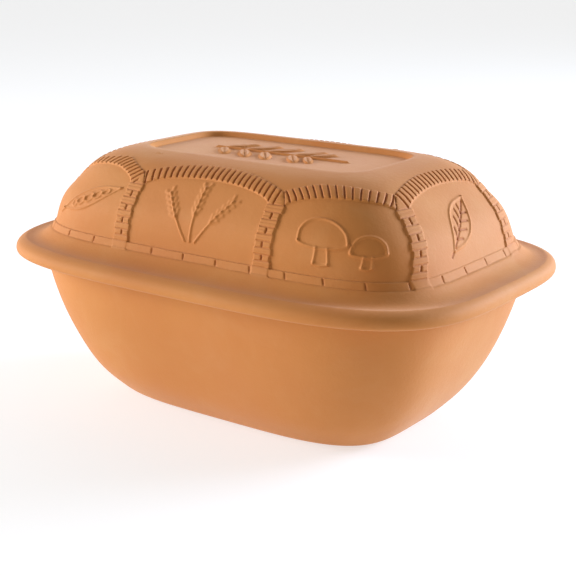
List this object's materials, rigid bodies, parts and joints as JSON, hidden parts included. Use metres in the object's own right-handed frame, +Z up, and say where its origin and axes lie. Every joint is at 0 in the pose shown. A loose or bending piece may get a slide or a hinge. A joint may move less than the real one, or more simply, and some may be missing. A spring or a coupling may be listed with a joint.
{
  "type": "covered casserole dish",
  "caption": "Oval-cornered unglazed clay baker: deep tub with a flat foot, and a domed lid that lifts off, with a rolled lip and a sunk crown.",
  "frame": {"origin": "centre of the flat foot, on the surface the dish stands on", "axes": "+Z up through the crown of the lid, +X along the dish's length, +Y across it"},
  "size_m": [0.3751, 0.257, 0.183],
  "materials": {
    "terracotta_tub": "unglazed matte",
    "terracotta_lid": "unglazed matte"
  },
  "bodies": {
    "tub": {"base_tub": "terracotta_tub"},
    "lid": {"domed_lid": "terracotta_lid"}
  },
  "joints": [
    {"name": "lid_lift", "type": "slide", "parent": "tub", "child": "lid", "axis": [0, 0, 1], "range_m": [0, 0.15]}
  ]
}
